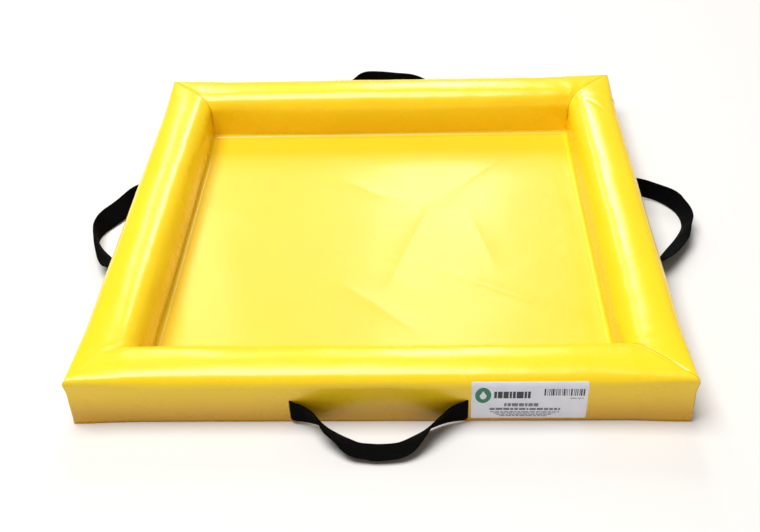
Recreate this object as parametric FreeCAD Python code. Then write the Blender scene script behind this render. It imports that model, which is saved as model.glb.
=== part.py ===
"""Flexible spill containment tray: foam-filled walls round a welded floor, with four webbing handles.

The tray stands on its base sheet. The origin is the middle of its underside, +Z is up, and the
front wall, which carries the label, faces -Y. Everything that repeats on the four sides is made
once, at the front, and turned about Z. Lengths are in millimetres and angles in degrees.
"""

import FreeCAD, Part
import math
import os

from FreeCAD import Vector

# Driving dimensions: the tray
TRAY_SIDE = 610.0  # outer face to outer face, both ways
WALL_WIDTH = 60.0
WALL_HEIGHT = 61.5  # top of the crown above the surface that the tray stands on
OUTER_SHOULDER_R = 8.0
INNER_SHOULDER_R = 20.0
CROWN_R = 120.0
CROWN_OFFSET = 30.0  # from the outer face to the top of the crown

# PVC-coated fabric and its welds
SHEET = 0.7
WELD_LAP = 18.0  # width of the flanges that are welded under the walls
PRESSED = 0.2  # how much a weld presses the floor sheet thinner
BEAD_TOE = 6.0  # sealing bead along the foot of each wall
BEAD_RISE = 5.0
BEAD_SAG = 1.3  # how far the bead's face is hollowed
TAPE = 0.5  # seam tape inside each mitred corner
TAPE_HALF_WIDTH = 8.5

# Foam bars
FOAM_EASE = 0.8  # room between foam and cover, which the seam tape needs
FOAM_SETBACK = 3.0  # from each end of the foam to the mitre

# Webbing handles
WEBBING_WIDTH = 25.4
WEBBING = 1.6  # thickness
SLIT_SPACING = 173.0  # between the two slits of one handle
SLIT_EASE = 0.3  # round the webbing, in each slit
WEBBING_FOOT = 4.8  # lower edge of the webbing at the slits
LOOP_GAP = 0.3  # between the loop and the face of the wall
HIDDEN_LAP = 50.0  # where the webbing's two ends overlap behind the cover
POCKET_EASE = 1.0
TACK_PITCH = 2.6
TACK_STITCHES = 8
STITCH_LENGTH = 3.0
THREAD = 0.5
TACK_AT = 18.0  # from the middle of the lap to each bar tack
LOOP_SECTIONS = 24
LEAN_FADE = 1.2  # how quickly the lean dies away towards the slits

# Label
LABEL_LEFT = 90.0
LABEL_WIDTH = 112.0
LABEL_HEIGHT = 49.0
LABEL_FOOT = 2.0
LABEL_THICKNESS = 0.2
LABEL_CORNER_R = 1.5

HALF = TRAY_SIDE / 2
SIDES = ("front", "right", "rear", "left")  # each is the one before, turned by +90 about Z
CORNERS = ("front_right", "rear_right", "rear_left", "front_left")
CLEAR = 100.0  # more than any height, for cutting tools

# How each webbing loop lies. Along the wall and out from its face: the loop's tip, and the two
# handles of the curve from each slit to the tip. lean is how far the webbing's top edge has
# fallen outwards from upright, a quarter of the way along, at the middle and at three quarters.
# foot is the height of its lower edge at the tip, and drop how soon that height is reached.
LOOPS = {
    "front": {"tip": (0, 43), "first": ((-48, 4), (-46, 43)), "last": ((46, 43), (50, 3)),
              "lean": (66, 83, 66), "foot": 0.4, "drop": 0.6},
    "right": {"tip": (22, 58.5), "first": ((-56, 16.5), (-11, 58.5)), "last": ((60, 58.5), (79, 33)),
              "lean": (73, 34, 11), "foot": 0.4, "drop": 0.7},
    "rear": {"tip": (26, 44), "first": ((-75, 18), (-38, 44)), "last": ((52, 44), (60, 24)),
             "lean": (8, 28, 0), "foot": 19.0, "drop": 0.9},
    "left": {"tip": (-3, 48), "first": ((-84, 20), (-18, 48)), "last": ((16, 48), (63, 15)),
             "lean": (56, 6, 67), "foot": 0.4, "drop": 0.8},
}


def box(x0, x1, y0, y1, z0, z1):
    """A box between two corners."""
    return Part.makeBox(x1 - x0, y1 - y0, z1 - z0, Vector(x0, y0, z0))


def prism(points, z0, z1):
    """A flat outline in XY, drawn up from z0 to z1."""
    corners = [Vector(x, y, z0) for x, y in points]
    face = Part.Face(Part.makePolygon(corners + corners[:1]))
    return face.extrude(Vector(0, 0, z1 - z0))


def turned(shape, quarter_turns):
    """A copy turned about Z by so many quarter turns."""
    copy = shape.copy()
    copy.rotate(Vector(0, 0, 0), Vector(0, 0, 1), 90 * quarter_turns)
    return copy


def on_circle(centre, radius, angle):
    """A point of the front wall's section, which lies in the YZ plane."""
    a = math.radians(angle)
    return Vector(0, centre[0] + radius * math.cos(a), centre[1] + radius * math.sin(a))


def arc(centre, radius, start, end):
    """An edge of the front wall's section round a centre, from one angle to another."""
    middle = (start + end) / 2
    points = [on_circle(centre, radius, a) for a in (start, middle, end)]
    return Part.Arc(*points).toShape()


def wall_bar(inset, bottom):
    """The front wall as a solid bar, pulled in by inset all round but for its flat bottom.

    Its top is three arcs that run into each other: the outer shoulder, the crown and the inner
    shoulder. All three keep their centres as the bar is pulled in.
    """
    crown = (-HALF + CROWN_OFFSET, WALL_HEIGHT - CROWN_R)
    outer_y = -HALF + OUTER_SHOULDER_R
    inner_y = -HALF + WALL_WIDTH - INNER_SHOULDER_R

    def shoulder(y, radius):
        rise = math.sqrt((CROWN_R - radius) ** 2 - (y - crown[0]) ** 2)
        angle = math.degrees(math.atan2(rise, y - crown[0]))
        return (y, crown[1] + rise), angle

    outer, outer_angle = shoulder(outer_y, OUTER_SHOULDER_R)
    inner, inner_angle = shoulder(inner_y, INNER_SHOULDER_R)
    outer_foot = Vector(0, -HALF + inset, bottom)
    inner_foot = Vector(0, -HALF + WALL_WIDTH - inset, bottom)
    outer_r = OUTER_SHOULDER_R - inset
    inner_r = INNER_SHOULDER_R - inset
    edges = [
        Part.makeLine(outer_foot, on_circle(outer, outer_r, 180)),
        arc(outer, outer_r, 180, outer_angle),
        arc(crown, CROWN_R - inset, outer_angle, inner_angle),
        arc(inner, inner_r, inner_angle, 0),
        Part.makeLine(on_circle(inner, inner_r, 0), inner_foot),
        Part.makeLine(inner_foot, outer_foot),
    ]
    face = Part.Face(Part.Wire(edges))
    face.translate(Vector(-HALF, 0, 0))
    return face.extrude(Vector(TRAY_SIDE, 0, 0))


def mitred(shape, setback=0.0):
    """The part of a front shape between its two mitres, or that far short of them."""
    back = setback * math.sqrt(2)
    far = -back - TRAY_SIDE
    wedge = prism([(0, -back), (-TRAY_SIDE, far), (TRAY_SIDE, far)], -CLEAR, CLEAR)
    return shape.common(wedge)


def base_sheet():
    """The bottom sheet, under the floor and the walls."""
    return box(-HALF, HALF, -HALF, HALF, 0, SHEET)


def floor_sheet():
    """The floor, which runs under the walls as a flange that the weld has pressed thinner."""
    exposed = HALF - WALL_WIDTH - BEAD_TOE
    welded = HALF - WALL_WIDTH + WELD_LAP
    flange = box(-welded, welded, -welded, welded, SHEET, 2 * SHEET - PRESSED)
    return flange.fuse(box(-exposed, exposed, -exposed, exposed, SHEET, 2 * SHEET)).removeSplitter()


def slits(ease):
    """The two slits of the front handle, grown by ease all round."""
    z0, z1 = WEBBING_FOOT - ease, WEBBING_FOOT + WEBBING_WIDTH + ease
    half = WEBBING / 2 + ease
    middles = (-SLIT_SPACING / 2, SLIT_SPACING / 2)
    return [box(x - half, x + half, -HALF, -HALF + SHEET, z0, z1) for x in middles]


def wall_cover():
    """The front wall's cover: outer face, crown and inner face, and a welded flange at each foot."""
    floor_top = 2 * SHEET - PRESSED
    skin = wall_bar(0, SHEET).cut(wall_bar(SHEET, -CLEAR))
    inner_face = -HALF + WALL_WIDTH
    outer_flange = box(-HALF, HALF, -HALF, -HALF + WELD_LAP, SHEET, 2 * SHEET)
    inner_flange = box(-HALF, HALF, inner_face - WELD_LAP, inner_face, floor_top, floor_top + SHEET)
    under = box(-HALF, HALF, inner_face - WELD_LAP, inner_face, 0, floor_top)
    cover = skin.fuse([outer_flange, inner_flange]).cut(under).removeSplitter()
    for slit in slits(SLIT_EASE):
        cover = cover.cut(slit)
    return mitred(cover)


def hidden_webbing():
    """The part of the front handle's webbing that stays behind the cover, from slit to slit.

    The webbing's two ends overlap in the middle, and each slit has a tab coming out through it.
    """
    end = SLIT_SPACING / 2 + WEBBING / 2
    y0 = -HALF + SHEET
    z0, z1 = WEBBING_FOOT, WEBBING_FOOT + WEBBING_WIDTH
    run = box(-end, end, y0, y0 + WEBBING, z0, z1)
    lap = box(-HIDDEN_LAP / 2, HIDDEN_LAP / 2, y0 + WEBBING, y0 + 2 * WEBBING, z0, z1)
    return run.fuse([lap] + slits(0)).removeSplitter()


def bar_tacks():
    """The stitches that join the overlapping ends of the front handle's webbing."""
    y0 = -HALF + SHEET + 2 * WEBBING
    middle = WEBBING_FOOT + WEBBING_WIDTH / 2
    first = middle - TACK_PITCH * (TACK_STITCHES - 1) / 2
    stitches = []
    for x in (-TACK_AT, TACK_AT):
        for i in range(TACK_STITCHES):
            z = first + i * TACK_PITCH
            half = STITCH_LENGTH / 2
            stitches.append(box(x - half, x + half, y0, y0 + THREAD, z - THREAD / 2, z + THREAD / 2))
    return Part.makeCompound(stitches)


def foam_bar():
    """The front foam bar, with a pocket that the hidden webbing has pressed into it."""
    foam = wall_bar(SHEET + FOAM_EASE, 3 * SHEET)
    deep = -HALF + SHEET + 2 * WEBBING + THREAD + POCKET_EASE
    half = SLIT_SPACING / 2 + WEBBING
    z0, z1 = WEBBING_FOOT - POCKET_EASE, WEBBING_FOOT + WEBBING_WIDTH + POCKET_EASE
    pocket = box(-half, half, -HALF, deep, z0, z1)
    return mitred(foam.cut(pocket), FOAM_SETBACK)


def foot_bead():
    """The sealing bead in the angle between the floor and the front wall, with a hollow face."""
    z = 2 * SHEET - PRESSED
    y = -HALF + WALL_WIDTH
    corner = Vector(-HALF, y, z)
    toe, top = corner + Vector(0, BEAD_TOE, 0), corner + Vector(0, 0, BEAD_RISE)
    across = math.hypot(BEAD_TOE, BEAD_RISE)
    inwards = Vector(0, -BEAD_RISE / across, -BEAD_TOE / across)
    middle = (toe + top) * 0.5 + inwards * BEAD_SAG
    hollow = Part.Arc(toe, middle, top).toShape()
    edges = [Part.makeLine(corner, toe), hollow, Part.makeLine(top, corner)]
    bead = Part.Face(Part.Wire(edges)).extrude(Vector(TRAY_SIDE, 0, 0))
    return mitred(bead)


def corner_tape():
    """The tape inside the front right corner, across the seam between the two covers."""
    lining = mitred(wall_bar(SHEET, 3 * SHEET).cut(wall_bar(SHEET + TAPE, -CLEAR)))
    both = lining.fuse(turned(lining, 1)).removeSplitter()
    diagonal = TRAY_SIDE * math.sqrt(2)
    strip = box(0, diagonal, -TAPE_HALF_WIDTH, TAPE_HALF_WIDTH, 0, CLEAR)
    strip.rotate(Vector(0, 0, 0), Vector(0, 0, 1), -45)
    return both.common(strip).removeSplitter()


def label():
    """The label film on the front wall's outer face."""
    right, top = LABEL_LEFT + LABEL_WIDTH, LABEL_FOOT + LABEL_HEIGHT
    film = box(LABEL_LEFT, right, -HALF - LABEL_THICKNESS, -HALF, LABEL_FOOT, top)
    corner_edges = [e for e in film.Edges if e.BoundBox.YLength > LABEL_THICKNESS / 2]
    return film.makeFillet(LABEL_CORNER_R, corner_edges)


def bezier(points, t):
    """A point of the cubic curve with these four control points."""
    weights = ((1 - t) ** 3, 3 * (1 - t) ** 2 * t, 3 * (1 - t) * t**2, t**3)
    return tuple(sum(w * p[k] for w, p in zip(weights, points)) for k in (0, 1))


def loop_point(loop, t):
    """Where the middle of the webbing is in plan, from one slit (t = 0) to the other (t = 1)."""
    slit = SLIT_SPACING / 2
    off = LOOP_GAP + WEBBING / 2
    if t <= 0.5:
        return bezier([(-slit, off), *loop["first"], loop["tip"]], 2 * t)
    return bezier([loop["tip"], *loop["last"], (slit, off)], 2 * t - 1)


def loop_lean(loop, along):
    """How far the webbing leans out from upright there, which is not at all at the slits."""
    u = 2 * along / SLIT_SPACING
    first, middle, last = loop["lean"]
    slope, bend = last - first, 2 * (first + last - 2 * middle)
    fade = max(0.0, 1 - u * u) ** LEAN_FADE
    return math.radians((middle + slope * u + bend * u * u) * fade)


def loop_section(loop, place):
    """The webbing's rectangular section at a place from 0 to 1, as a wire across it."""
    step = 1e-4
    s0, o0 = loop_point(loop, max(place - step, 0))
    s1, o1 = loop_point(loop, min(place + step, 1))
    along = Vector(s1 - s0, -(o1 - o0), 0).normalize()
    outwards = Vector(along.y, -along.x, 0)
    s, out = loop_point(loop, place)
    lean = loop_lean(loop, s)
    share = min(1.0, (out / loop["tip"][1])) ** loop["drop"]
    foot = WEBBING_FOOT + (loop["foot"] - WEBBING_FOOT) * share
    up = Vector(0, 0, math.cos(lean)) + outwards * math.sin(lean)
    through = along.cross(up)
    lift = foot + WEBBING_WIDTH / 2 * math.cos(lean) + WEBBING / 2 * abs(math.sin(lean))
    centre = Vector(s, -HALF - out, lift)
    half_w, half_t = up * (WEBBING_WIDTH / 2), through * (WEBBING / 2)
    ways = [(-1, -1), (1, -1), (1, 1), (-1, 1)]
    corners = [centre + half_w * w + half_t * t for w, t in ways]
    return Part.makePolygon(corners + corners[:1])


def webbing_loop(loop):
    """One handle's free loop, made at the front."""
    sections = [loop_section(loop, i / LOOP_SECTIONS) for i in range(LOOP_SECTIONS + 1)]
    return Part.makeLoft(sections, True, True)


def main():
    """Makes every node and writes one STEP file for each."""
    nodes = {"base_sheet": base_sheet(), "floor_sheet": floor_sheet(), "label": label()}
    per_side = {
        "wall_cover": wall_cover(),
        "foam_bar": foam_bar(),
        "foot_bead": foot_bead(),
        "handle_anchor": hidden_webbing(),
        "bar_tacks": bar_tacks(),
    }
    tape = corner_tape()
    for turns, (side, corner) in enumerate(zip(SIDES, CORNERS)):
        for name, shape in per_side.items():
            nodes[f"{name}_{side}"] = turned(shape, turns)
        nodes[f"handle_loop_{side}"] = turned(webbing_loop(LOOPS[side]), turns)
        nodes[f"corner_tape_{corner}"] = turned(tape, turns)
    os.makedirs("parts", exist_ok=True)
    for name, shape in nodes.items():
        shape.exportStep(os.path.join("parts", name + ".step"))
    return nodes


main()
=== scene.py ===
"""Looks of the flexible spill tray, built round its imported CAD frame. Lengths are in metres.

The front wall, which carries the label, faces -Y. What the four sides share is made once in the
front wall's place and turned by quarter turns about Z. A point of the front wall is given by where it
is along the wall (x), how far in it is from the outer face (depth) and its height (z).
"""

import math

import bmesh
import bpy
import numpy as np
from mathutils import Matrix, Vector, noise


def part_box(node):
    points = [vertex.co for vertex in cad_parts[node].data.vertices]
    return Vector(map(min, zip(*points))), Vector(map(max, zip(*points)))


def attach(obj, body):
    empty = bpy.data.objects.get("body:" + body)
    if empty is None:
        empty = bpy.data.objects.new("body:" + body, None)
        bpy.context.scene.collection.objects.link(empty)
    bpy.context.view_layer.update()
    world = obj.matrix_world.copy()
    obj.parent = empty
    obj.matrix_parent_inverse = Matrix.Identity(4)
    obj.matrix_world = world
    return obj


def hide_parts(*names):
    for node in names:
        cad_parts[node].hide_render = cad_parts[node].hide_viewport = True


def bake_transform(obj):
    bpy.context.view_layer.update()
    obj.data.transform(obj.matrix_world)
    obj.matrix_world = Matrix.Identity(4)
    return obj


MM = 0.001
SIDES = ("front", "right", "rear", "left")  # each is the one before, turned by +90 degrees about Z
CORNERS = ("front_right", "rear_right", "rear_left", "front_left")  # after each side, going round that way

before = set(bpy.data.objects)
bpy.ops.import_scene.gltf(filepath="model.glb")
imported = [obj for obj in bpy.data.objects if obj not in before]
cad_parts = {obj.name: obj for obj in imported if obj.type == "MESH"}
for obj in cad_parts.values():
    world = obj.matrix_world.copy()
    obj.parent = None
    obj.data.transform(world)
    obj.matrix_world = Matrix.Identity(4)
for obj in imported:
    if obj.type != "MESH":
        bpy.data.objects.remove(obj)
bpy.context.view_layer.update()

# Places and sizes that come from the frame
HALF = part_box("base_sheet")[1].x
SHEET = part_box("base_sheet")[1].z
WALL_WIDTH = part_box("wall_cover_front")[1].y + HALF
WALL_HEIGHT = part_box("wall_cover_front")[1].z
FLOOR_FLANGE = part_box("floor_sheet")[1].x
FLOOR_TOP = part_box("floor_sheet")[1].z
FLANGE_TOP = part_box("foot_bead_front")[0].z
BEAD_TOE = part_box("foot_bead_front")[1].y + HALF - WALL_WIDTH
WEBBING_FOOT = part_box("handle_anchor_front")[0].z
WEBBING_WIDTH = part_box("handle_anchor_front")[1].z - WEBBING_FOOT
LABEL_LOW, LABEL_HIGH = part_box("label")

# The covers' shape. SLIT_AT is each slit's middle, and FOAM_GAP is from the cover's outside to the foam
OUTER_SHOULDER_R = 15 * MM  # half-way along a wall
OUTER_CORNER_R = 6 * MM  # where two walls meet
INNER_SHOULDER_R = 20 * MM
CROWN_R = 120 * MM
CROWN_OFFSET = 30 * MM
FOLD_R = 1.2 * MM
WELD_LAP = 18 * MM
SLIT_AT = 86.5 * MM
SLIT_HALF = 1.1 * MM
SLIT_LOW, SLIT_HIGH = WEBBING_FOOT - 0.3 * MM, WEBBING_FOOT + WEBBING_WIDTH + 0.3 * MM
FOAM_GAP = 1.5 * MM
FOOT_TUCK = 2.2 * MM  # how far the outer face draws in at its foot
FACE_HEIGHT = 32 * MM  # where the outer face is fullest

# The covers' simulation
SIM_STEP = 2  # it leaves out every other point of the covers
SIM_FRAMES = 20
SIM_PRESSURE = 3.0
SWELL_MOST = 3 * MM
SWELLING = {}  # for each side, how far every point of its cover moves

# The label
LABEL_CORNER_R = 1.5 * MM
LABEL_FILM = 0.2 * MM
INK = 0.05 * MM

# Seam tape behind each mitre
TAPE_REACH = 8 * MM
TAPE_THICKNESS = 0.45 * MM
TAPE_FOOT = 3 * MM

# Single folds of the covers round the corners: where in plan, how high and how wide, in millimetres
FOLDS = [
    {"path": [(262, -267), (279, -283), (295, -295)], "high": -0.8, "wide": 1.6},
    {"path": [(266, -274), (280, -288)], "high": 0.5, "wide": 4.0},
    {"path": [(246, -260), (262, -265)], "high": -0.6, "wide": 2.0},
    {"path": [(262, 247), (284, 245), (303, 238)], "high": 1.1, "wide": 4.0},
    {"path": [(258, 238), (270, 226), (282, 205)], "high": -0.9, "wide": 3.0},
    {"path": [(288, 215), (300, 190)], "high": -0.7, "wide": 2.5},
    {"path": [(-262, -252), (-280, -262), (-296, -281)], "high": -0.5, "wide": 4.0},
]

# Webbing
WEBBING = 1.6 * MM
LOOP_GAP = 0.3 * MM
LEAN_FADE = 1.2
LOOPS = {
    "front": {"tip": (0, 43), "first": ((-48, 4), (-46, 43)), "last": ((46, 43), (50, 3)),
              "lean": (66, 83, 66), "foot": 0.4, "drop": 0.6},
    "right": {"tip": (22, 58.5), "first": ((-56, 16.5), (-11, 58.5)), "last": ((60, 58.5), (79, 33)),
              "lean": (73, 34, 11), "foot": 0.4, "drop": 0.7},
    "rear": {"tip": (26, 44), "first": ((-75, 18), (-38, 44)), "last": ((52, 44), (60, 24)),
             "lean": (8, 28, 0), "foot": 19.0, "drop": 0.9},
    "left": {"tip": (-3, 48), "first": ((-84, 20), (-18, 48)), "last": ((16, 48), (63, 15)),
             "lean": (56, 6, 67), "foot": 0.4, "drop": 0.8},
}

# Colours: a darker and a lighter tone of each
VINYL_TONES = ((0.92, 0.636, 0.010), (0.95, 0.668, 0.013))
FLOOR_TONES = ((0.83, 0.56, 0.016), (0.86, 0.585, 0.019))
HIDDEN_WEBBING_TONES = ((0.0015, 0.0015, 0.0017), (0.006, 0.006, 0.007))
THREAD_TONES = ((0.006, 0.006, 0.007), (0.03, 0.03, 0.032))
# painted shade at the foot of the outer faces: its colour, and the height where it has faded out
PAINTED_FOOT_SHADE = (0.60, 0.30, 0.006, 1)
PAINTED_SHADE_HEIGHT = 48 * MM
WELD_LINE = (0.42, 0.22, 0.008, 1)


# ---------------------------------------------------------------- helpers


def smooth(low, high, value):
    """0 below low, 1 above high, and an even curve between them."""
    t = np.clip((np.asarray(value, float) - low) / (high - low), 0, 1)
    return t * t * (3 - 2 * t)


def turned(points, quarter_turns):
    """Points turned about Z."""
    points = np.array(points, float)
    for _ in range(quarter_turns % 4):
        x, y = points[..., 0].copy(), points[..., 1].copy()
        points[..., 0], points[..., 1] = -y, x
    return points


def soft_noise(points, size, seed=0.0, stretch=(1, 1, 1)):
    """Smooth noise from about -1 to 1, whose lumps are about that size."""
    flat = points.reshape(-1, 3) * np.array(stretch) / size
    values = [noise.noise(Vector((p[0] + seed, p[1] - seed, p[2] + 2 * seed))) for p in flat]
    return np.array(values).reshape(points.shape[:-1]) * 1.6


def new_object(name, vertices, faces, uvs=None):
    """A mesh object with smooth faces; uvs holds one pair per vertex, in metres."""
    mesh = bpy.data.meshes.new(name)
    mesh.from_pydata([tuple(v) for v in vertices], [], faces)
    mesh.polygons.foreach_set("use_smooth", [True] * len(mesh.polygons))
    if uvs is not None:
        layer = mesh.uv_layers.new(name="UVMap")
        loops = np.zeros(len(mesh.loops), int)
        mesh.loops.foreach_get("vertex_index", loops)
        layer.data.foreach_set("uv", np.asarray(uvs, np.float32)[loops].reshape(-1))
    mesh.update()
    obj = bpy.data.objects.new(name, mesh)
    bpy.context.scene.collection.objects.link(obj)
    return obj


def grid_object(name, points, uvs=None, skip=None, closed_rows=False):
    """A mesh from rows by columns of points. skip(row, column) leaves a face out."""
    rows, columns = points.shape[:2]
    faces = []
    for r in range(rows if closed_rows else rows - 1):
        for c in range(columns - 1):
            if skip is None or not skip(r, c):
                here, above = r * columns + c, (r + 1) % rows * columns + c
                faces.append((here, here + 1, above + 1, above))
    flat_uvs = None if uvs is None else uvs.reshape(-1, 2)
    return new_object(name, points.reshape(-1, 3), faces, flat_uvs)


def apply_modifiers(obj):
    """Makes what the modifiers do part of the mesh."""
    evaluated = obj.evaluated_get(bpy.context.evaluated_depsgraph_get())
    mesh = bpy.data.meshes.new_from_object(evaluated)
    obj.modifiers.clear()
    obj.data = mesh
    return obj


def thicken(obj, thickness):
    """Gives a sheet its thickness, on the side that its faces look away from."""
    solidify = obj.modifiers.new("thickness", "SOLIDIFY")
    solidify.thickness = thickness
    solidify.offset = -1
    solidify.use_even_offset = True
    solidify.thickness_clamp = 1.0
    apply_modifiers(obj)
    obj.data.set_sharp_from_angle(angle=math.radians(50))
    return obj


# ---------------------------------------------------------------- materials


class Nodes:
    """A short way to build a node material."""

    def __init__(self, name):
        self.material = bpy.data.materials.new(name)
        self.material.use_nodes = True
        self.tree = self.material.node_tree
        self.shader = next(n for n in self.tree.nodes if n.type == "BSDF_PRINCIPLED")

    def add(self, kind, inputs=None, **settings):
        """A node with its settings, its inputs given as values or as other nodes' outputs."""
        node = self.tree.nodes.new("ShaderNode" + kind)
        for key, value in settings.items():
            setattr(node, key, value)
        for key, value in (inputs or {}).items():
            self.put(node.inputs[key], value)
        return node

    def put(self, socket, value):
        """Sets a socket to a value, or links an output to it."""
        if isinstance(value, bpy.types.NodeSocket):
            self.tree.links.new(value, socket)
        else:
            socket.default_value = value

    def math(self, operation, a, b=0.0, clamp=False):
        """The output of a Math node."""
        node = self.add("Math", {0: a, 1: b}, operation=operation, use_clamp=clamp)
        return node.outputs[0]

    def ramp(self, value, stops):
        """The output of a colour ramp with (position, colour) stops."""
        node = self.add("ValToRGB", {"Fac": value})
        elements = node.color_ramp.elements
        while len(elements) < len(stops):
            elements.new(0.5)
        for element, (position, colour) in zip(elements, stops):
            element.position = position
            element.color = (*colour, 1)
        return node.outputs["Color"]

    def noise(self, vector, scale, detail=2.0, roughness=0.5):
        """The output of a noise texture."""
        inputs = {"Vector": vector, "Scale": scale, "Detail": detail, "Roughness": roughness}
        return self.add("TexNoise", inputs).outputs["Fac"]

    def fade(self, value, low, high):
        """1 below low, 0 above high, and an even curve between them."""
        inputs = {"Value": value, "From Min": low, "From Max": high, "To Min": 1.0, "To Max": 0.0}
        return self.add("MapRange", inputs, interpolation_type="SMOOTHSTEP").outputs[0]

    def mix(self, share, first, second):
        """The first colour, changed by that share into the second."""
        return self.add("MixRGB", {"Fac": share, "Color1": first, "Color2": second}).outputs[0]

    def bump(self, height, distance, strength=1.0, below=None):
        """The normal that a bump gives, on top of another."""
        inputs = {"Height": height, "Distance": distance, "Strength": strength}
        if below is not None:
            inputs["Normal"] = below
        return self.add("Bump", inputs).outputs["Normal"]

    def finish(self, **inputs):
        """Sets the shader's sockets, whose names have _ for a space."""
        for key, value in inputs.items():
            self.put(self.shader.inputs[key.replace("_", " ")], value)
        return self.material


def weave_height(n, vector, pitch):
    """Crossing threads, from the surface's own coordinates in metres."""
    split = n.add("SeparateXYZ", {0: vector})
    turns = 2 * math.pi / pitch
    along = n.math("SINE", n.math("MULTIPLY", split.outputs[0], turns))
    across = n.math("SINE", n.math("MULTIPLY", split.outputs[1], turns))
    return n.math("MULTIPLY", along, across)


def painted_foot_shade_and_weld(n, place, colour):
    """Painted shade that darkens the outer faces towards their foot, and the darker weld line along each
    mitre.
    """
    split = n.add("SeparateXYZ", {0: place})
    x, y = (n.math("ABSOLUTE", split.outputs[k]) for k in (0, 1))
    height = split.outputs[2]
    outside = n.math("GREATER_THAN", n.math("MAXIMUM", x, y), HALF - 4 * MM)
    # painted shade: the outer faces darken towards their foot
    foot_shade = n.math("MULTIPLY", n.fade(height, 0.0, PAINTED_SHADE_HEIGHT), outside)
    foot_shaded = n.mix(n.math("MULTIPLY", foot_shade, 0.85), colour, PAINTED_FOOT_SHADE)
    weld = n.fade(n.math("ABSOLUTE", n.math("SUBTRACT", x, y)), 0.35 * MM, 1.1 * MM)
    # the front left weld doesn't show
    seen = n.math("GREATER_THAN", n.math("MAXIMUM", split.outputs[0], split.outputs[1]), 0.0)
    seen = n.math("MULTIPLY", n.math("GREATER_THAN", height, 20 * MM), seen)
    return n.mix(n.math("MULTIPLY", n.math("MULTIPLY", weld, seen), 0.6), foot_shaded, WELD_LINE)


def vinyl_material(name, tones=VINYL_TONES, scrim=0.00002, roughness=0.27):
    """Glossy yellow PVC coating over a polyester scrim, whose threads show through faintly."""
    n = Nodes(name)
    place = n.add("TexCoord").outputs["Object"]
    surface = n.add("UVMap", uv_map="UVMap").outputs["UV"]
    cloud = n.noise(place, 9.0, 3.0)
    # the colour carries painted shade at the foot of the outer faces, and the weld lines
    colour = painted_foot_shade_and_weld(n, place, n.ramp(cloud, [(0.3, tones[0]), (0.7, tones[1])]))
    grain = n.noise(place, 900.0, 2.0, 0.6)
    ripple = n.noise(place, 55.0, 2.0)
    normal = n.bump(ripple, 0.0006, 0.55)
    normal = n.bump(weave_height(n, surface, 0.0016), scrim, 0.6, normal)
    normal = n.bump(grain, 0.00005, 0.25, normal)
    smear = n.noise(place, 22.0, 4.0, 0.6)
    gloss = n.math("ADD", n.math("MULTIPLY", smear, 0.12), roughness - 0.06)
    return n.finish(Base_Color=colour, Roughness=gloss, Normal=normal, IOR=1.5, Coat_Weight=0.12,
                    Coat_Roughness=0.12)


def webbing_material():
    """Black woven webbing: ribs across it and a herringbone of threads along it."""
    n = Nodes("webbing")
    surface = n.add("UVMap", uv_map="UVMap").outputs["UV"]
    split = n.add("SeparateXYZ", {0: surface})
    along, across = split.outputs[0], split.outputs[1]
    zigzag = n.math("PINGPONG", across, 0.0032)
    twill = n.math("SINE", n.math("MULTIPLY", n.math("ADD", along, zigzag), 2 * math.pi / 0.0017))
    cords = n.math("SINE", n.math("MULTIPLY", across, 2 * math.pi / 0.0016))
    height = n.math("ADD", n.math("MULTIPLY", twill, 0.6), n.math("MULTIPLY", cords, 0.4))
    place = n.add("TexCoord").outputs["Object"]
    fuzz = n.noise(place, 1500.0, 2.0, 0.7)
    shade = n.math("ADD", n.math("MULTIPLY", height, 0.25), fuzz)
    colour = n.ramp(shade, [(0.2, (0.0005, 0.0005, 0.0006)), (0.9, (0.003, 0.003, 0.0034))])
    normal = n.bump(height, 0.00025, 0.7)
    normal = n.bump(fuzz, 0.0001, 0.5, normal)
    return n.finish(Base_Color=colour, Roughness=0.85, Normal=normal, Specular_IOR_Level=0.05)


def plain_woven_material(name, tones):
    """Thread or webbing in two close tones."""
    n = Nodes(name)
    place = n.add("TexCoord").outputs["Object"]
    strands = n.add("TexWave", {"Vector": place, "Scale": 900.0, "Distortion": 1.5, "Detail": 1.0})
    height = strands.outputs["Fac"]
    colour = n.ramp(height, [(0.1, tones[0]), (0.9, tones[1])])
    return n.finish(Base_Color=colour, Roughness=0.8, Normal=n.bump(height, 0.0001, 0.6))


def foam_material():
    """Pale open foam with fine cells."""
    n = Nodes("foam")
    place = n.add("TexCoord").outputs["Object"]
    cells = n.add("TexVoronoi", {"Vector": place, "Scale": 700.0}).outputs["Distance"]
    colour = n.ramp(cells, [(0.0, (0.45, 0.44, 0.40)), (0.6, (0.80, 0.79, 0.74))])
    return n.finish(Base_Color=colour, Roughness=0.95, Normal=n.bump(cells, 0.0006, 0.8))


def label_material():
    """White label film, with a slight curl in its gloss."""
    n = Nodes("label_film")
    place = n.add("TexCoord").outputs["Object"]
    cloud = n.noise(place, 60.0, 3.0)
    colour = n.ramp(cloud, [(0.35, (0.74, 0.79, 0.90)), (0.65, (0.80, 0.84, 0.94))])
    return n.finish(Base_Color=colour, Roughness=0.33, Normal=n.bump(cloud, 0.0004, 0.3), IOR=1.45)


def print_material(name, dark, light):
    """Printing ink, slightly uneven."""
    n = Nodes(name)
    place = n.add("TexCoord").outputs["Object"]
    cloud = n.noise(place, 700.0, 3.0)
    return n.finish(Base_Color=n.ramp(cloud, [(0.3, dark), (0.7, light)]), Roughness=0.4)


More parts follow.
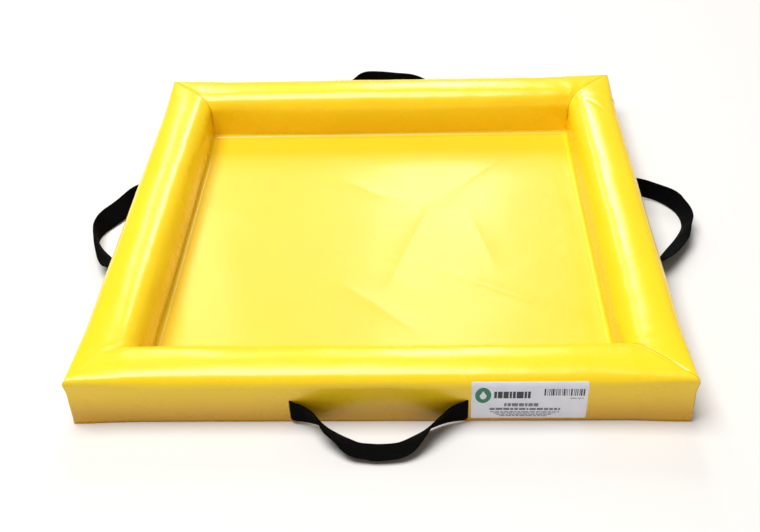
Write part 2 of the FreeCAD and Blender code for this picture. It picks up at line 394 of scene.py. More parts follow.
def make_materials():
    """Every material of the object, by name."""
    return {
        "vinyl": vinyl_material("vinyl"),
        "vinyl_floor": vinyl_material("vinyl_floor", FLOOR_TONES, roughness=0.38),
        "vinyl_bead": vinyl_material("vinyl_bead", scrim=0.0, roughness=0.42),
        "webbing": webbing_material(),
        "webbing_hidden": plain_woven_material("webbing_hidden", HIDDEN_WEBBING_TONES),
        "thread": plain_woven_material("thread", THREAD_TONES),
        "foam": foam_material(),
        "label_film": label_material(),
        "print_dark": print_material("print_dark", (0.012, 0.013, 0.02), (0.03, 0.03, 0.045)),
        "print_grey": print_material("print_grey", (0.13, 0.13, 0.17), (0.20, 0.20, 0.25)),
        "print_green": print_material("print_green", (0.010, 0.17, 0.09), (0.015, 0.23, 0.12)),
    }


def paint(obj, material):
    """Gives an object one material."""
    obj.data.materials.clear()
    obj.data.materials.append(material)


# ---------------------------------------------------------------- walls


def arc_points(centre, radius, start, end, count):
    """Points and outward normals round a centre in (depth, z), from one angle to another, in degrees."""
    angles = np.radians(np.linspace(start, end, count))
    normals = np.stack([np.cos(angles), np.sin(angles)], -1)
    return np.array(centre) + radius * normals, normals


def line_points(points, normal):
    """Points of a straight stretch, all with one normal."""
    points = np.array(points, float)
    return points, np.tile(np.array(normal, float), (len(points), 1))


def wall_section(outer_r):
    """The cover's section as points and outward normals in (depth, z), from flange to flange."""
    crown = np.array([CROWN_OFFSET, WALL_HEIGHT - CROWN_R])

    def shoulder(depth, radius):
        rise = math.sqrt((CROWN_R - radius) ** 2 - (depth - crown[0]) ** 2)
        return (depth, crown[1] + rise), math.degrees(math.atan2(rise, depth - crown[0]))

    outer, outer_angle = shoulder(outer_r, outer_r)
    inner, inner_angle = shoulder(WALL_WIDTH - INNER_SHOULDER_R, INNER_SHOULDER_R)
    face_top = 42 * MM
    slit_rows = np.linspace(SLIT_LOW, SLIT_HIGH, 7)
    upper_rows = np.linspace(SLIT_HIGH, face_top, 4)[1:]
    last_rows = np.linspace(face_top, outer[1], 3)[1:-1]
    outer_z = [SHEET + FOLD_R, *slit_rows, *upper_rows, *last_rows]
    inner_z = np.linspace(inner[1], FLANGE_TOP + FOLD_R, 10)
    outer_lap = np.linspace(WELD_LAP, FOLD_R, 4)[:-1]
    inner_lap = np.linspace(WALL_WIDTH - FOLD_R, WALL_WIDTH - WELD_LAP, 4)[1:]
    stretches = [
        line_points([(d, SHEET) for d in outer_lap], (0, -1)),
        arc_points((FOLD_R, SHEET + FOLD_R), FOLD_R, 270, 180, 4),
        line_points([(0, z) for z in outer_z[1:]], (-1, 0)),
        arc_points(outer, outer_r, 180, outer_angle, 7),
        tuple(a[1:] for a in arc_points(crown, CROWN_R, outer_angle, inner_angle, 14)),
        tuple(a[1:] for a in arc_points(inner, INNER_SHOULDER_R, inner_angle, 0, 9)),
        line_points([(WALL_WIDTH, z) for z in inner_z[1:-1]], (1, 0)),
        arc_points((WALL_WIDTH - FOLD_R, FLANGE_TOP + FOLD_R), FOLD_R, 0, -90, 4),
        line_points([(d, FLANGE_TOP) for d in inner_lap], (0, -1)),
    ]
    return np.concatenate([s[0] for s in stretches]), np.concatenate([s[1] for s in stretches])


def wall_columns():
    """Where the columns of a wall's grid are, from -1 at one mitre to 1 at the other."""
    near = [0.0, 0.8, 1.7, 2.7, 3.8, 5.0, 6.4, 8.0, 9.8, 11.8, 14.0, 16.5, 19.2, 22.2, 25.5, 29.0, 33.0, 37.0]
    near = [HALF - d * MM for d in near]
    between = np.linspace(near[-1], SLIT_AT + SLIT_HALF, 40)[1:]
    middle = np.linspace(SLIT_AT - SLIT_HALF, 0, 20)
    half = np.array([*near, *between, *middle])
    return np.concatenate([-half, half[-2::-1]]) / HALF


def mitre_share(gap):
    """1 at a mitre, where both covers move the same way, and 0 away from it."""
    return np.exp(-((gap / (8 * MM)) ** 2))


def wall_surface(inwards=0.0, setback=0.0):
    """The front cover's outer surface as a grid of points, with directions to move them in, and depths."""
    columns = wall_columns() * (1 - setback / HALF)
    points, pushes, gaps = [], [], []
    for u in columns:
        gap = (1 - abs(u)) * HALF
        share = smooth(0, 95 * MM, gap)
        section, normals = wall_section(OUTER_CORNER_R + (OUTER_SHOULDER_R - OUTER_CORNER_R) * share)
        section = section - normals * inwards
        depth, z = section[:, 0], section[:, 1]
        x = u * (HALF - depth)
        points.append(np.stack([x, depth - HALF, z], -1))
        joint = mitre_share(gap)
        sideways = -normals[:, 0] * joint * 0.5 * np.sign(u)
        pushes.append(np.stack([sideways, normals[:, 0] * (1 - 0.5 * joint), normals[:, 1]], -1))
        gaps.append(np.full(len(depth), gap))
    stack = [np.array(a).transpose(1, 0, *range(2, np.array(a).ndim)) for a in (points, pushes, gaps)]
    return stack[0], stack[1], stack[2]


def corner_distance(points):
    """How far points are, in plan, from the nearest inner end of a mitre, and the angle round it."""
    inner = HALF - WALL_WIDTH + 5 * MM
    dx, dy = np.abs(points[..., 0]) - inner, np.abs(points[..., 1]) - inner
    return np.hypot(dx, dy), np.arctan2(dy, dx)


def mitre_offset(points):
    """How far points are, in plan, from the nearest mitre's line."""
    return (np.abs(points[..., 0]) - np.abs(points[..., 1])) / math.sqrt(2)


def line_distance(x, y, path):
    """How far points are, in plan, from a line through several points."""
    best = np.full(np.shape(x), 1e9)
    for (x0, y0), (x1, y1) in zip(path, path[1:]):
        dx, dy = x1 - x0, y1 - y0
        t = np.clip(((x - x0) * dx + (y - y0) * dy) / (dx * dx + dy * dy), 0, 1)
        best = np.minimum(best, np.hypot(x - x0 - t * dx, y - y0 - t * dy))
    return best


def at_corners(points, rear_right, front_right, rear_left, front_left):
    """One of four values for each point, from the corner that it is nearest to."""
    right, rear = points[..., 0] > 0, points[..., 1] > 0
    return np.where(right, np.where(rear, rear_right, front_right), np.where(rear, rear_left, front_left))


def wall_relief(points, gaps):
    """How far the cover stands proud of its plain shape at points given in their real place."""
    z, depth = points[..., 2], HALF - np.maximum(np.abs(points[..., 0]), np.abs(points[..., 1]))
    top = smooth(40 * MM, 54 * MM, z)
    outer_face = smooth(6 * MM, 2 * MM, depth) * (1 - top)
    inner_face = smooth(WALL_WIDTH - 8 * MM, WALL_WIDTH - 2 * MM, depth) * (1 - top)
    inner_face *= smooth(0, 4 * MM, z - FLANGE_TOP)
    rim = smooth(0, 20 * MM, depth)
    offset = np.abs(mitre_offset(points))
    # broad, shallow waves of the fabric over the foam
    relief = 0.5 * MM * soft_noise(points, 95 * MM, 3.1) * top * (0.3 + 0.7 * rim)
    relief += 0.28 * MM * soft_noise(points, 32 * MM, 8.7) * top * (0.4 + 0.6 * rim)
    relief += 0.8 * MM * soft_noise(points, 70 * MM, 5.3) * inner_face
    relief += (0.35 * soft_noise(points, 45 * MM, 1.9) - 0.45) * MM * outer_face * smooth(0, 10 * MM, z)
    # the inner face swells between its foot and its shoulder
    swell = np.sin(np.pi * np.clip(z / (50 * MM), 0, 1))
    relief += 1.8 * MM * swell * inner_face * smooth(5 * MM, 70 * MM, gaps)
    # the seam along each mitre is a groove between two low lips, in a shallow valley
    seam = top * smooth(0, 8 * MM, depth) * at_corners(points, 0.6, 0.25, 0.7, 0.1)
    relief -= 0.9 * MM * np.exp(-((offset / (1.3 * MM)) ** 2)) * seam
    relief += 0.25 * MM * np.exp(-(((offset - 5 * MM) / (3 * MM)) ** 2)) * seam
    relief -= 1.2 * MM * np.exp(-gaps / (16 * MM)) * top * rim
    # folds that run out from the inner end of each mitre
    distance, angle = corner_distance(points)
    high = at_corners(points, 1.5, 0.35, 0.35, 0.2) * MM
    folds = np.cos(5 * (angle - math.pi / 4) + at_corners(points, 2.0, 0.6, 1.1, 2.9))
    near = np.exp(-distance / (22 * MM)) * smooth(2 * MM, 9 * MM, distance) * smooth(34 * MM, 52 * MM, z)
    relief += high * folds * near
    for fold in FOLDS:
        away = line_distance(points[..., 0], points[..., 1], np.array(fold["path"]) * MM)
        relief += fold["high"] * MM * np.exp(-((away / (fold["wide"] * MM)) ** 2)) * top
    return relief


def corner_ears(points):
    """The outer top corners stick out a little, over a small dent below them."""
    x, y, z = points[..., 0], points[..., 1], points[..., 2]
    away = np.hypot(HALF - np.abs(x), HALF - np.abs(y))
    size = at_corners(points, 0.7, 1.4, 0.6, 1.5) * MM
    ear = size * np.exp(-((away / (13 * MM)) ** 2)) * smooth(40 * MM, 56 * MM, z)
    dent = 0.25 * size * np.exp(-((away / (9 * MM)) ** 2)) * np.exp(-(((z - 40 * MM) / (7 * MM)) ** 2))
    move = np.zeros(points.shape)
    move[..., :2] = np.stack([np.sign(x), np.sign(y)], -1) * (ear - dent)[..., None] / math.sqrt(2)
    return move


def seeded_wall(side, inwards=0.0, setback=0.0):
    """The cover's surface on one side before it swells, in its real place, moved in by so much."""
    turns = SIDES.index(side)
    points, pushes, gaps = wall_surface(inwards, setback)
    depth = points[..., 1] + HALF
    z, away = points[..., 2], smooth(3 * MM, 70 * MM, gaps)
    foot = FOOT_TUCK * np.clip(1 - z / FACE_HEIGHT, 0, 1) ** 2
    points[..., 1] += foot * smooth(14 * MM, 2 * MM, depth) * away
    points, pushes = turned(points, turns), turned(pushes, turns)
    relief = wall_relief(points, gaps)
    return points + pushes * relief[..., None] + corner_ears(points)


def shaped_wall(side, inwards=0.0, setback=0.0):
    """The same surface, swelled by its foam."""
    return seeded_wall(side, inwards, setback) + SWELLING.get(side, 0)


def sampled(count):
    """Which of so many rows or columns the simulation uses."""
    return np.unique([*range(0, count, SIM_STEP), count - 1])


def spread(field, count, axis):
    """Fills in the rows or columns that the simulation left out."""
    return np.apply_along_axis(lambda v: np.interp(np.arange(count), sampled(count), v), axis, field)


def sewn_down(plain):
    """How firmly each point is held: 1 on the outer face and the feet, 0 on the crown and the inner face."""
    depth, height = plain[..., 1] + HALF, plain[..., 2]
    held = 1 - smooth(38 * MM, 50 * MM, height) * smooth(1 * MM, 6 * MM, depth)
    inner = smooth(WALL_WIDTH - 4 * MM, WALL_WIDTH - 1 * MM, depth) * smooth(4 * MM, 12 * MM, height)
    return np.minimum(held, 1 - inner)


def make_ring(plain):
    """The four covers as one coarse mesh, their points before the merge, and which merged point each is."""
    pick = np.ix_(sampled(plain.shape[0]), sampled(plain.shape[1]))
    grids = np.array([seeded_wall(side)[pick] for side in SIDES])
    walls, rows, columns, _ = grids.shape
    vertices = grids.reshape(-1, 3)
    first = {}
    keys = np.round(vertices / (0.05 * MM)).astype(int)
    shared = [first.setdefault(tuple(key), i) for i, key in enumerate(keys)]
    used, merged = np.unique(shared, return_inverse=True)
    cells = [(w * rows + r) * columns + c
             for w in range(walls) for r in range(rows - 1) for c in range(columns - 1)]
    faces = [tuple(merged[[k, k + 1, k + columns + 1, k + columns]]) for k in cells]
    ring = new_object("ring", vertices[used], faces)
    group = ring.vertex_groups.new(name="held")
    held = np.tile(sewn_down(plain[pick]).reshape(-1), walls)
    for i, k in enumerate(used):
        group.add([i], float(held[k]), "REPLACE")
    return ring, grids, used, merged


def add_cloth(ring):
    """Coated fabric that the foam pushes outwards."""
    cloth = ring.modifiers.new("cloth", "CLOTH")
    settings = cloth.settings
    settings.quality = 6
    settings.mass = 0.4
    settings.air_damping = 4
    settings.tension_stiffness = settings.compression_stiffness = 60
    settings.shear_stiffness = 30
    settings.bending_stiffness = 8
    settings.vertex_group_mass = "held"
    settings.pin_stiffness = 1
    settings.use_pressure = True
    settings.uniform_pressure_force = SIM_PRESSURE
    settings.effector_weights.gravity = 0
    cloth.collision_settings.use_collision = False
    cloth.point_cache.frame_start, cloth.point_cache.frame_end = 1, SIM_FRAMES


def swell_covers():
    """Cloth simulation of the four covers together. Fills SWELLING with how far each point moves."""
    plain, _, _ = wall_surface()
    ring, grids, used, merged = make_ring(plain)
    add_cloth(ring)
    scene = bpy.context.scene
    for step in range(1, SIM_FRAMES + 1):
        scene.frame_set(step)
    before = grids.reshape(-1, 3)[used]
    after = np.zeros(before.size)
    swelled = ring.evaluated_get(bpy.context.evaluated_depsgraph_get()).data
    swelled.vertices.foreach_get("co", after)
    shift = (after.reshape(-1, 3) - before)[merged]
    scene.frame_set(1)
    bpy.data.objects.remove(ring)
    far = np.linalg.norm(shift, axis=1)
    shift *= (np.minimum(far, SWELL_MOST) / np.maximum(far, 1e-9))[:, None]
    for side, field in zip(SIDES, shift.reshape(grids.shape)):
        SWELLING[side] = spread(spread(field, plain.shape[1], 1), plain.shape[0], 0)


def surface_uvs(points):
    """Distances along the rows and the columns of a grid, in metres."""
    along = np.linalg.norm(np.diff(points, axis=1), axis=-1)
    across = np.linalg.norm(np.diff(points, axis=0), axis=-1)
    middle = points.shape[0] // 2
    u = np.concatenate([[0], np.cumsum(along[middle])])
    v = np.concatenate([[0], np.cumsum(across[:, across.shape[1] // 2])])
    return np.stack(np.meshgrid(u, v), -1)


def make_cover(side, materials):
    """One wall's cover, with its two slits."""
    points = shaped_wall(side)
    plain, _, _ = wall_surface()
    x, depth, z = plain[..., 0], plain[..., 1] + HALF, plain[..., 2]

    def in_slit(r, c):
        middle_x = abs(x[r, c] + x[r, c + 1]) / 2
        middle_z = (z[r, c] + z[r + 1, c]) / 2
        on_face = depth[r, c] < 0.1 * MM and depth[r + 1, c] < 0.1 * MM
        return on_face and abs(middle_x - SLIT_AT) < SLIT_HALF and SLIT_LOW < middle_z < SLIT_HIGH

    cover = grid_object(f"cover_{side}", points, surface_uvs(points), in_slit)
    thicken(cover, SHEET)
    paint(cover, materials["vinyl"])
    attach(cover, "tray")
    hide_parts(f"wall_cover_{side}")


def cover_shift(side, points):
    """How far the cover's outer face has moved, at real places just behind it."""
    turns = SIDES.index(side)
    shaped = turned(shaped_wall(side), -turns)
    plain, _, _ = wall_surface()
    face = (plain[:, plain.shape[1] // 2, 1] < 0.01 * MM - HALF) & (plain[:, 0, 2] > SHEET)
    shift, plain = (shaped - plain)[face], plain[face]
    local = turned(points, -turns)
    moved = np.zeros(local.shape)
    for i, (x, _, z) in enumerate(local):
        here = [np.interp(x, row[:, 0], moves[:, 1]) for row, moves in zip(plain, shift)]
        moved[i, 1] = np.interp(z, plain[:, 0, 2], here)
    return turned(moved, turns)


def follow_cover(side, prefix, material):
    """A piece behind the outer face, moved from its CAD place with the cover."""
    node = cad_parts[f"{prefix}_{side}"]
    mesh = bmesh.new()
    mesh.from_mesh(node.data)
    mesh.transform(node.matrix_world)
    for _ in range(6):
        long = [e for e in mesh.edges if e.calc_length() > 6 * MM]
        if not long:
            break
        bmesh.ops.subdivide_edges(mesh, edges=long, cuts=1, use_grid_fill=False)
    bmesh.ops.triangulate(mesh, faces=[f for f in mesh.faces if len(f.verts) > 4])
    points = np.array([v.co for v in mesh.verts])
    for vertex, place in zip(mesh.verts, points + cover_shift(side, points)):
        vertex.co = place
    obj = new_object(f"{prefix}_{side}_shown", [], [])
    mesh.to_mesh(obj.data)
    mesh.free()
    paint(obj, material)
    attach(obj, "tray")
    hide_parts(node.name)


def make_corner_tape(corner, materials):
    """The seam tape behind the mitre where one side's cover meets the next one's."""
    plain, pushes, gaps = wall_surface()
    along = pushes[..., 1] / (1 - 0.5 * mitre_share(gaps))
    column = plain.shape[1] // 2
    rows = np.nonzero(plain[:, column, 2] > TAPE_FOOT)[0]
    near = np.nonzero(gaps[0, :column] < TAPE_REACH)[0]
    halves = []
    for side, columns in ((corner, plain.shape[1] - 1 - near), ((corner + 1) % 4, near[1:])):
        ends = np.sign(plain[..., 0])
        inwards = turned(np.stack([-along * ends, along, pushes[..., 2]], -1), side) * (SHEET + 0.08 * MM)
        half = shaped_wall(SIDES[side]) - inwards
        halves.append(half[np.ix_(rows, columns)])
    points = np.concatenate([halves[0][:, ::-1], halves[1]], axis=1)
    name = f"corner_tape_{CORNERS[corner]}"
    tape = grid_object(f"{name}_shown", points, surface_uvs(points))
    thicken(tape, TAPE_THICKNESS)
    paint(tape, materials["vinyl_bead"])
    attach(tape, "tray")
    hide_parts(name)


def make_foam(side, materials):
    """The foam bar inside one wall, which follows the cover, with the pocket for the webbing."""
    cad_low, cad_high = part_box("foam_bar_front")
    points = shaped_wall(side, FOAM_GAP, HALF - cad_high.x)
    plain, _, _ = wall_surface(FOAM_GAP, HALF - cad_high.x)
    rows = [r for r in range(plain.shape[0]) if plain[r, 0, 2] > cad_low.z + 2 * MM]
    points, plain = points[rows], plain[rows]
    face = (plain[..., 1] + HALF < 3 * MM) & (np.abs(plain[..., 0]) < SLIT_AT + 3 * MM)
    height = plain[..., 2]
    face &= (height > WEBBING_FOOT - 1.5 * MM) & (height < WEBBING_FOOT + WEBBING_WIDTH + 3 * MM)
    inward = turned(np.array([0.0, 4.0 * MM, 0.0]), SIDES.index(side))
    points[face] += inward
    feet = points[[-1, 0]].copy()
    feet[..., 2] = cad_low.z
    ring = np.concatenate([feet[1:], points, feet[:1]])
    foam = grid_object(f"foam_{side}", ring[:, ::-1], closed_rows=True)
    rows, columns = ring.shape[:2]
    cap_ends(foam, rows, columns)
    paint(foam, materials["foam"])
    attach(foam, "tray")
    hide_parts(f"foam_bar_{side}")


def cap_ends(obj, rows, columns):
    """Closes the two ends of a tube that was made as a closed grid."""
    mesh = bmesh.new()
    mesh.from_mesh(obj.data)
    mesh.verts.ensure_lookup_table()
    for column in (0, columns - 1):
        ring = [mesh.verts[r * columns + column] for r in range(rows)]
        mesh.faces.new(ring if column else ring[::-1])
    bmesh.ops.recalc_face_normals(mesh, faces=mesh.faces)
    bmesh.ops.triangulate(mesh, faces=[f for f in mesh.faces if len(f.verts) > 4])
    mesh.to_mesh(obj.data)
    mesh.free()


# ---------------------------------------------------------------- floor


WRINKLES = [
    # each low fold of the floor: its way in metres, and its height and half width in millimetres
    {"path": [(0.171, 0.199), (0.114, 0.139), (0.061, 0.070), (0.030, -0.014), (0.007, -0.090)],
     "high": 1.0, "wide": 17},
    {"path": [(-0.140, 0.160), (-0.056, 0.126), (-0.009, 0.094), (0.040, 0.080)], "high": 0.9, "wide": 16},
    {"path": [(0.060, -0.060), (0.153, -0.112), (0.226, -0.154)], "high": 0.9, "wide": 15},
    {"path": [(-0.060, -0.078), (-0.010, -0.124), (0.040, -0.172)], "high": 0.5, "wide": 14},
    {"path": [(0.100, 0.060), (0.112, 0.005), (0.130, -0.060)], "high": 0.5, "wide": 14},
    {"path": [(-0.190, 0.060), (-0.130, -0.020), (-0.110, -0.120)], "high": 0.7, "wide": 22},
]


def smooth_path(path, steps=6):
    """More points along the same bends, on a curve through them all."""
    points = [np.array(p) for p in (path[0], *path, path[-1])]
    made = []
    for a, b, c, d in zip(points, points[1:], points[2:], points[3:]):
        for i in range(steps):
            t = i / steps
            square, cube = 2 * a - 5 * b + 4 * c - d, 3 * b - a - 3 * c + d
            made.append(0.5 * (2 * b + (c - a) * t + square * t**2 + cube * t**3))
    return [tuple(p) for p in made] + [path[-1]]


def make_floor_sheet(materials):
    """The sump's floor, which lies on the base sheet in a few low folds."""
    edge = FLOOR_FLANGE
    exposed = HALF - WALL_WIDTH - BEAD_TOE
    inner = np.linspace(-exposed, exposed, 181)
    line = np.array([-edge, -exposed - 2 * MM, *inner, exposed + 2 * MM, edge])
    x, y = np.meshgrid(line, line)
    inside = smooth(0, 22 * MM, exposed - np.maximum(np.abs(x), np.abs(y)))
    z = np.where(np.maximum(np.abs(x), np.abs(y)) > exposed + MM, FLANGE_TOP, FLOOR_TOP)
    for wrinkle in WRINKLES:
        path = smooth_path(wrinkle["path"])
        fold = np.zeros(x.shape)
        for k, (a, b) in enumerate(zip(path, path[1:])):
            taper = math.sin(math.pi * (k + 0.7) / (len(path) - 0.6)) ** 0.7
            away = line_distance(x, y, [a, b]) / (wrinkle["wide"] * MM * (0.5 + 0.5 * taper))
            fold = np.maximum(fold, taper * (0.6 * np.exp(-away * away) + 0.4 * np.exp(-9 * away * away)))
        z = z + wrinkle["high"] * MM * fold * inside
    flat = np.stack([x, y, np.zeros_like(x)], -1)
    z = z + 0.35 * MM * (soft_noise(flat, 110 * MM, 4.2) + 1) * inside
    points = np.stack([x, y, z], -1)
    floor = grid_object("sump_floor", points, np.stack([x, y], -1))
    thicken(floor, SHEET - 0.25 * MM)
    paint(floor, materials["vinyl_floor"])
    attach(floor, "tray")
    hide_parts("floor_sheet")


def make_base_sheet(materials):
    """The sheet that everything stands on, drawn in along its edges with the covers' feet."""
    middle = np.linspace(-0.93, 0.93, 50)[1:-1]
    line = np.concatenate([np.linspace(-1, -0.93, 8), middle, np.linspace(0.93, 1, 8)])
    x, y = np.meshgrid(line * HALF, line * HALF)

    def drawn_in(value, other):
        tuck = FOOT_TUCK * smooth(3 * MM, 70 * MM, HALF - np.abs(other))
        return value - np.sign(value) * tuck * smooth(HALF - 20 * MM, HALF, np.abs(value))

    points = np.stack([drawn_in(x, y), drawn_in(y, x), np.full(x.shape, SHEET)], -1)
    base = grid_object("base", points, np.stack([x, y], -1))
    thicken(base, SHEET)
    paint(base, materials["vinyl"])
    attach(base, "tray")
    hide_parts("base_sheet")


# ---------------------------------------------------------------- webbing


def bezier(points, t):
    """A point of the cubic curve with these four control points."""
    weights = ((1 - t) ** 3, 3 * (1 - t) ** 2 * t, 3 * (1 - t) * t**2, t**3)
    return sum(w * np.array(p, float) for w, p in zip(weights, points))


def loop_point(loop, t):
    """Where the middle of the webbing is in plan, along and out from the wall, from slit to slit."""
    slit = SLIT_AT / MM
    off = (LOOP_GAP + WEBBING / 2) / MM
    if t <= 0.5:
        return bezier([(-slit, off), *loop["first"], loop["tip"]], 2 * t) * MM
    return bezier([loop["tip"], *loop["last"], (slit, off)], 2 * t - 1) * MM


def loop_lean(loop, along):
    """How far the webbing leans out from upright there, in radians."""
    u = along / SLIT_AT
    first, middle, last = loop["lean"]
    slope, bend = last - first, 2 * (first + last - 2 * middle)
    fade = max(0.0, 1 - u * u) ** LEAN_FADE
    return math.radians((middle + slope * u + bend * u * u) * fade)


def webbing_outline():
    """The webbing's section as (across, through) pairs, with rounded edges."""
    half_w, half_t = WEBBING_WIDTH / 2, WEBBING / 2
    across = np.linspace(-half_w + half_t, half_w - half_t, 9)
    upper = [(a, half_t) for a in across]
    lower = [(a, -half_t) for a in across[::-1]]
    bend = [math.radians(a) for a in (60, 30, 0, -30, -60)]
    right = [(half_w - half_t + half_t * math.cos(b), half_t * math.sin(b)) for b in bend]
    left = [(-a, -t) for a, t in right]
    return upper + right + lower + left


def make_strap(side, materials):
    """One webbing handle's loop, which comes out of its two slits."""
    loop = LOOPS[side]
    inner = [-4.4, -3.2, -2.0, -0.8, 0.2]
    steps = np.linspace(0, 1, 121)[2:-2]
    path = [loop_point(loop, t) for t in steps]
    start = [np.array([-SLIT_AT, o * MM]) for o in inner]
    finish = [np.array([SLIT_AT, o * MM]) for o in inner[::-1]]
    plan = np.array([*start, *path, *finish])
    for _ in range(2):
        plan[1:-1] = 0.5 * plan[1:-1] + 0.25 * (plan[:-2] + plan[2:])
    length = np.concatenate([[0], np.cumsum(np.linalg.norm(np.diff(plan, axis=0), axis=1))])
    free = smooth(2 * MM, 20 * MM, plan[:, 1])
    sway = [noise.noise(Vector((s / (24 * MM), 3.7 * SIDES.index(side), 0.5))) for s in length]
    plan[:, 1] += np.array(sway) * 2.2 * MM * free
    tangent = np.gradient(plan, axis=0)
    tangent /= np.linalg.norm(tangent, axis=1)[:, None]
    outline = webbing_outline()
    rings, uvs = [], []
    for k, (point, along) in enumerate(zip(plan, tangent)):
        direction = np.array([along[0], -along[1], 0])
        outwards = np.array([direction[1], -direction[0], 0])
        lean = loop_lean(loop, point[0]) + 0.16 * sway[k] * free[k]
        share = min(1.0, max(0.0, point[1] / (loop["tip"][1] * MM))) ** loop["drop"]
        foot = WEBBING_FOOT + (loop["foot"] * MM - WEBBING_FOOT) * share
        up = np.array([0, 0, math.cos(lean)]) + outwards * math.sin(lean)
        through = np.cross(direction, up)
        lift = foot + WEBBING_WIDTH / 2 * math.cos(lean) + WEBBING / 2 * abs(math.sin(lean))
        centre = np.array([point[0], -HALF - point[1], lift])
        rings.append([centre + up * a + through * t for a, t in outline])
        uvs.append([(length[k], a) for a, _ in outline])
    points = turned(np.array(rings), SIDES.index(side)).transpose(1, 0, 2)
    strap = grid_object(f"handle_{side}_webbing", points, np.array(uvs).transpose(1, 0, 2), closed_rows=True)
    cap_ends(strap, len(outline), len(plan))
    paint(strap, materials["webbing"])
    out = [turned(np.array([0, -HALF - o, WEBBING_FOOT]), SIDES.index(side)) for o in (0.5 * MM, 24 * MM)]
    tuple(out[0])
    tuple(out[1])
    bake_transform(strap)
    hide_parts(f"handle_loop_{side}")


# ---------------------------------------------------------------- label


def label_place():
    """A function that puts (along, up, proud), in metres from the label's lower left corner, on the cover."""
    wall = shaped_wall("front")
    foot = int(np.argmax(wall[:, wall.shape[1] // 2, 2] > LABEL_LOW.z))
    wall = wall[foot:foot + 40]

    def place(along, up, proud):
        x = LABEL_LOW.x + along
        column = np.array([[np.interp(x, row[:, 0], row[:, k]) for k in (1, 2)] for row in wall])
        steps = np.linalg.norm(np.diff(column, axis=0), axis=1)
        length = np.concatenate([[0], np.cumsum(steps)])
        y, z = (np.interp([up - 0.5 * MM, up, up + 0.5 * MM], length, column[:, k]) for k in (0, 1))
        slope = np.array([y[2] - y[0], z[2] - z[0]])
        slope /= np.linalg.norm(slope)
        return x, y[1] - slope[1] * proud, z[1] + slope[0] * proud

    return place


def finish_print(obj, material, thickness):
    """What every piece of the label has in common."""
    thicken(obj, thickness)
    obj.data.polygons.foreach_set("use_smooth", [False] * len(obj.data.polygons))
    paint(obj, material)
    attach(obj, "tray")
    return obj


def print_patches(name, boxes, material, place):
    """Thin patches of ink on the label, from (left, right, low, high) in millimetres on it."""
    vertices, faces = [], []
    for left, right, low, high in boxes:
        rows = max(2, int((high - low) / 1.5) + 1)
        k = len(vertices)
        for up in np.linspace(low, high, rows):
            vertices += [place(x * MM, up * MM, LABEL_FILM + INK) for x in (left, right)]
        faces += [(k + 2 * r, k + 2 * r + 1, k + 2 * r + 3, k + 2 * r + 2) for r in range(rows - 1)]
    return finish_print(new_object(name, vertices, faces), material, INK)


def word_bars(left, right, low, high, seed):
    """A line of print as bars of uneven length, with no letters."""
    rng = np.random.default_rng(seed)
    bars, x = [], left
    while x < right - 1:
        end = min(right, x + rng.uniform(2.0, 7.0))
        bars.append((x, end, low, high))
        x = end + 0.9
    return bars


def code_bars(left, right, low, high, seed):
    """Upright bars of uneven width."""
    rng = np.random.default_rng(seed)
    bars, x = [], left
    while x < right:
        width = rng.choice([0.5, 0.9, 1.5])
        bars.append((x, min(right, x + width), low, high))
        x += width + rng.choice([0.5, 0.9, 1.3])
    return bars


def drop_mark(material, place):
    """A plain round mark with a drop cut out of it."""
    count, middle, radii = 48, (11.4 * MM, 32 * MM), (7.7 * MM, 10.4 * MM)
    turns = np.linspace(0, 2 * math.pi, count, endpoint=False)
    rings = [[(math.cos(a), math.sin(a)) for a in turns], []]
    for a in turns:
        pull = max(0.0, math.sin(a)) ** 3
        r = 0.42 * (1 - 0.25 * pull) + 0.33 * pull**2
        rings[1].append((r * math.cos(a) * (1 - 0.55 * pull), r * math.sin(a) - 0.1))
    spots = [(middle[0] + radii[0] * u, middle[1] + radii[1] * v) for ring in rings for u, v in ring]
    vertices = [place(along, up, LABEL_FILM + INK) for along, up in spots]
    faces = [(i, (i + 1) % count, count + (i + 1) % count, count + i) for i in range(count)]
    finish_print(new_object("label_mark", vertices, faces), material, INK)


def make_label(materials):
    """The label's film, which follows the cover, and its generic printing."""
    place = label_place()
    width, height = LABEL_HIGH.x - LABEL_LOW.x, LABEL_HIGH.z - LABEL_LOW.z
    near = LABEL_CORNER_R * (1 - np.cos(np.radians([0, 30, 60, 90])))
    rows = np.array([*near[:-1], *np.linspace(near[-1], height - near[-1], 18), *(height - near[-2::-1])])
    grid = []
    for up in rows:
        short = max(0.0, LABEL_CORNER_R - min(up, height - up))
        inset = LABEL_CORNER_R - math.sqrt(LABEL_CORNER_R**2 - short**2)
        grid.append([place(x, up, LABEL_FILM) for x in np.linspace(inset, width - inset, 29)])
    film = finish_print(grid_object("label_face", np.array(grid)), materials["label_film"], 0.9 * LABEL_FILM)
    film.data.polygons.foreach_set("use_smooth", [True] * len(film.data.polygons))
    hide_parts("label")
    dark = word_bars(22, 57.5, 28, 37, 11) + code_bars(70, 109, 31.5, 40.5, 5)
    print_patches("label_print_dark", dark, materials["print_dark"], place)
    grey = word_bars(32, 66.5, 16.8, 21.3, 3) + word_bars(18, 86.5, 11.4, 14.6, 7)
    grey += word_bars(95, 108, 27.6, 28.6, 9)
    for row in range(4):
        grey += word_bars(19 + 3 * row, 86 - 4 * row, 8.4 - 2 * row, 9.5 - 2 * row, 20 + row)
    print_patches("label_print_grey", grey, materials["print_grey"], place)
    drop_mark(materials["print_green"], place)


# ---------------------------------------------------------------- carried-over CAD pieces


def paint_beads(materials):
    """The weld lines at the foot of the inner faces are the CAD's own."""
    for name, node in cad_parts.items():
        if name.startswith("foot_bead"):
            paint(node, materials["vinyl_bead"])


# ---------------------------------------------------------------- stage


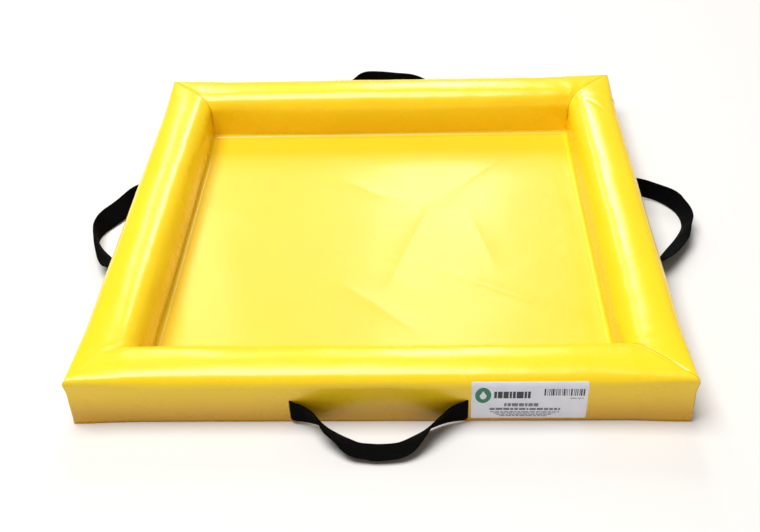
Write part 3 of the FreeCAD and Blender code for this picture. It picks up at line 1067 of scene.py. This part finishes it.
def make_stage():
    """A plain pale floor."""
    half = 6.0
    corners = [(-half, -half, 0), (half, -half, 0), (half, half, 0), (-half, half, 0)]
    floor = new_object("stage_floor", corners, [(0, 1, 2, 3)])
    n = Nodes("stage_floor")
    paint(floor, n.finish(Base_Color=(0.74, 0.72, 0.70, 1), Roughness=0.9))
    floor.location.z = -0.0002


def area_light(name, place, target, size, power, colour=(1, 1, 1)):
    """A rectangular soft light that looks at a point."""
    data = bpy.data.lights.new(name, "AREA")
    data.shape = "RECTANGLE"
    data.size, data.size_y = size
    data.energy = power
    data.color = colour
    light = bpy.data.objects.new(name, data)
    light.location = place
    light.rotation_euler = (Vector(target) - Vector(place)).to_track_quat("-Z", "Y").to_euler()
    bpy.context.scene.collection.objects.link(light)


def make_lights():
    """Soft light from above and behind, and a pale surround."""
    world = bpy.data.worlds.new("surround")
    bpy.context.scene.world = world
    world.use_nodes = True
    world.node_tree.nodes["Background"].inputs["Color"].default_value = (1, 1, 1, 1)
    world.node_tree.nodes["Background"].inputs["Strength"].default_value = 0.17
    area_light("key", (-0.95, -0.1, 4.0), (0, 0, 0), (2.7, 2.7), 222)
    area_light("rear", (0.14, 3.2, 2.2), (0, 0, 0), (0.6, 1.5), 30)
    area_light("rear_left", (-1.1, 3.1, 2.2), (0, 0, 0), (0.25, 1.4), 12)
    area_light("fill", (0.3, -2.6, 0.7), (0, 0, 0), (1.6, 0.6), 5, (1, 0.62, 0.25))


def make_camera():
    """A camera above the front wall, turned a little to the left and tilted a little."""
    pitch, yaw, roll = (math.radians(a) for a in (37.74, -2.80, -2.23))
    forward = Vector((math.sin(yaw) * math.cos(pitch), math.cos(yaw) * math.cos(pitch), -math.sin(pitch)))
    level = Vector((math.cos(yaw), -math.sin(yaw), 0))
    upright = level.cross(forward)
    right = math.cos(roll) * level + math.sin(roll) * upright
    up = math.cos(roll) * upright - math.sin(roll) * level
    data = bpy.data.cameras.new("camera")
    data.sensor_width = 36
    data.lens = 50.73
    camera = bpy.data.objects.new("camera", data)
    turn = Matrix((right, up, -forward)).transposed().to_4x4()
    camera.matrix_world = Matrix.Translation((0.043, -1.046, 0.770)) @ turn
    bpy.context.scene.collection.objects.link(camera)
    bpy.context.scene.camera = camera


def main():
    """Builds everything around the frame."""
    bpy.context.scene.view_settings.view_transform = "Standard"
    make_camera()
    make_stage()
    make_lights()
    swell_covers()
    materials = make_materials()
    for side in SIDES:
        make_cover(side, materials)
        make_foam(side, materials)
        make_strap(side, materials)
        follow_cover(side, "handle_anchor", materials["webbing_hidden"])
        follow_cover(side, "bar_tacks", materials["thread"])
    for corner in range(4):
        make_corner_tape(corner, materials)
    make_base_sheet(materials)
    make_floor_sheet(materials)
    make_label(materials)
    paint_beads(materials)


main()
